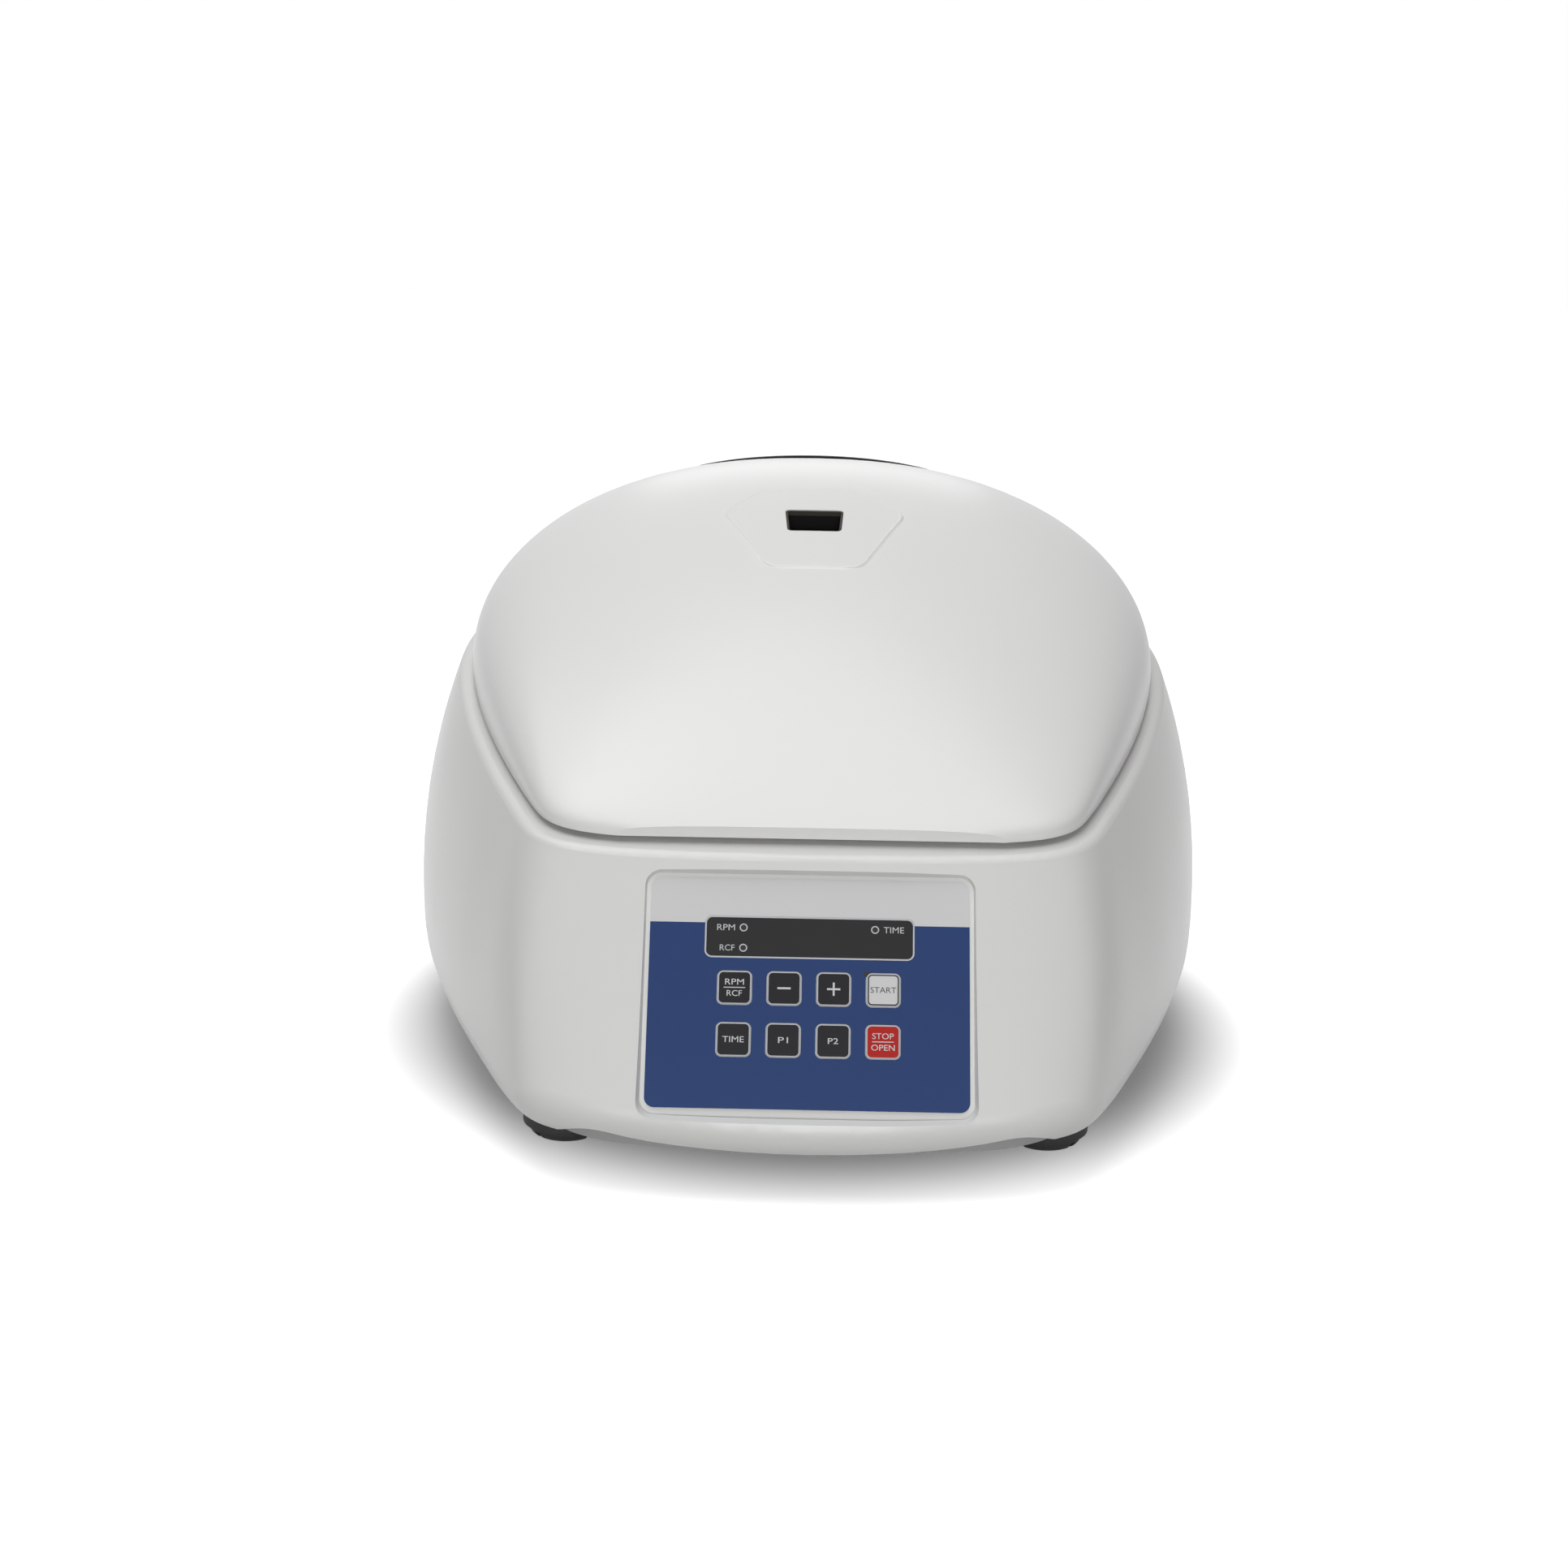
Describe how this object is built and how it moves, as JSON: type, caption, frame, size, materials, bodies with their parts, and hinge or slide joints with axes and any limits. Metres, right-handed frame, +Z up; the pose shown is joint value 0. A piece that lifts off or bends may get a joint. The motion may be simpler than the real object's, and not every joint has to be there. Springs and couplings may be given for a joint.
{
  "type": "centrifuge",
  "caption": "White benchtop centrifuge with a domed, rear-hinged lid with a small window, an angled rotor with tube sleeves, and a front keypad with display.",
  "frame": {"origin": "centre of the bounding box in X and Y, on the ground under the feet", "axes": "+X to the right, +Y to the back, +Z up; the keypad faces -Y"},
  "size_m": [0.3144, 0.3636, 0.211],
  "materials": {
    "white_plastic": "satin moulded",
    "grey_plastic": "matte moulded",
    "liner_plastic": "satin moulded",
    "black_plastic": "satin moulded",
    "black_key": "printed film",
    "white_key": "printed film",
    "red_key": "printed film",
    "keypad_film": "printed film",
    "display_glass": "glossy tinted",
    "display_face": "glossy",
    "clear_plastic": "tinted clear",
    "circuit_board": "solder mask",
    "spring_steel": "stamped",
    "brass_pins": "plated",
    "motor_metal": "powder coated",
    "sheet_steel": "zinc plated",
    "black_rubber": "moulded",
    "grey_rubber": "moulded",
    "stainless_steel": "spun and brushed",
    "shaft_steel": "ground",
    "rotor_aluminium": "anodised",
    "sleeve_plastic": "moulded",
    "screw_steel": "zinc plated"
  },
  "bodies": {
    "base": {"housing": "white_plastic", "base_tray": "grey_plastic", "foot_front_left": "black_rubber", "foot_front_right": "black_rubber", "foot_back_left": "black_rubber", "foot_back_right": "black_rubber", "foot_screws": "screw_steel", "base_screws": "screw_steel", "power_board": "circuit_board", "motor": "motor_metal", "motor_mount": "sheet_steel", "motor_dampers": "black_rubber", "shaft_seal": "black_rubber", "chamber_bowl": "stainless_steel", "bowl_screws": "screw_steel", "lid_gasket": "grey_rubber", "latch_bracket": "sheet_steel", "latch_solenoid": "sheet_steel", "hinge_bracket": "sheet_steel", "hinge_screws": "screw_steel", "hinge_pin": "shaft_steel", "keypad_overlay": "keypad_film", "display_window": "display_glass", "display_module": "display_face", "control_board": "circuit_board", "key_domes": "spring_steel", "power_inlet": "black_plastic", "inlet_pins": "brass_pins", "inlet_screws": "screw_steel", "switch_frame": "black_plastic"},
    "lid": {"lid_shell": "white_plastic", "lid_liner": "liner_plastic", "viewing_window": "clear_plastic", "lid_striker": "sheet_steel", "striker_screws": "screw_steel", "rear_cover": "black_plastic", "liner_screws": "screw_steel", "hinge_leaf": "sheet_steel", "leaf_screws": "screw_steel"},
    "rotor": {"drive_shaft": "shaft_steel", "rotor_head": "rotor_aluminium", "rotor_nut": "rotor_aluminium", "tube_sleeve_1": "sleeve_plastic", "tube_sleeve_2": "sleeve_plastic", "tube_sleeve_3": "sleeve_plastic", "tube_sleeve_4": "sleeve_plastic", "tube_sleeve_5": "sleeve_plastic", "tube_sleeve_6": "sleeve_plastic", "tube_sleeve_7": "sleeve_plastic", "tube_sleeve_8": "sleeve_plastic"},
    "bolt": {"latch_bolt": "shaft_steel"},
    "rocker": {"power_rocker": "black_plastic"},
    "key_rpm_rcf_body": {"key_rpm_rcf": "black_key"},
    "key_minus_body": {"key_minus": "black_key"},
    "key_plus_body": {"key_plus": "black_key"},
    "key_start_body": {"key_start": "white_key"},
    "key_time_body": {"key_time": "black_key"},
    "key_p1_body": {"key_p1": "black_key"},
    "key_p2_body": {"key_p2": "black_key"},
    "key_stop_open_body": {"key_stop_open": "red_key"}
  },
  "joints": [
    {"name": "lid_hinge", "type": "hinge", "parent": "base", "child": "lid", "pos_m": [0, 0.16667, 0.16684], "axis": [-1, 0, 0], "range_deg": [0, 78]},
    {"name": "rotor_spin", "type": "hinge", "parent": "base", "child": "rotor", "pos_m": [0, 0.033, 0.096], "axis": [0, 0, 1], "continuous": true},
    {"name": "latch_slide", "type": "slide", "parent": "base", "child": "bolt", "axis": [-1, 0, 0], "range_m": [0, 0.007]},
    {"name": "power_rocker", "type": "hinge", "parent": "base", "child": "rocker", "pos_m": [0.032, 0.1744, 0.053], "axis": [0, 0, 1], "range_deg": [0, 16]},
    {"name": "key_rpm_rcf_press", "type": "slide", "parent": "base", "child": "key_rpm_rcf_body", "axis": [0, 0.8729, -0.4879], "range_m": [0, 0.0004], "stiffness_N_per_m": 600},
    {"name": "key_minus_press", "type": "slide", "parent": "base", "child": "key_minus_body", "axis": [0, 0.8729, -0.4879], "range_m": [0, 0.0004], "stiffness_N_per_m": 600},
    {"name": "key_plus_press", "type": "slide", "parent": "base", "child": "key_plus_body", "axis": [0, 0.8729, -0.4879], "range_m": [0, 0.0004], "stiffness_N_per_m": 600},
    {"name": "key_start_press", "type": "slide", "parent": "base", "child": "key_start_body", "axis": [0, 0.8729, -0.4879], "range_m": [0, 0.0004], "stiffness_N_per_m": 600},
    {"name": "key_time_press", "type": "slide", "parent": "base", "child": "key_time_body", "axis": [0, 0.8729, -0.4879], "range_m": [0, 0.0004], "stiffness_N_per_m": 600},
    {"name": "key_p1_press", "type": "slide", "parent": "base", "child": "key_p1_body", "axis": [0, 0.8729, -0.4879], "range_m": [0, 0.0004], "stiffness_N_per_m": 600},
    {"name": "key_p2_press", "type": "slide", "parent": "base", "child": "key_p2_body", "axis": [0, 0.8729, -0.4879], "range_m": [0, 0.0004], "stiffness_N_per_m": 600},
    {"name": "key_stop_open_press", "type": "slide", "parent": "base", "child": "key_stop_open_body", "axis": [0, 0.8729, -0.4879], "range_m": [0, 0.0004], "stiffness_N_per_m": 600}
  ]
}
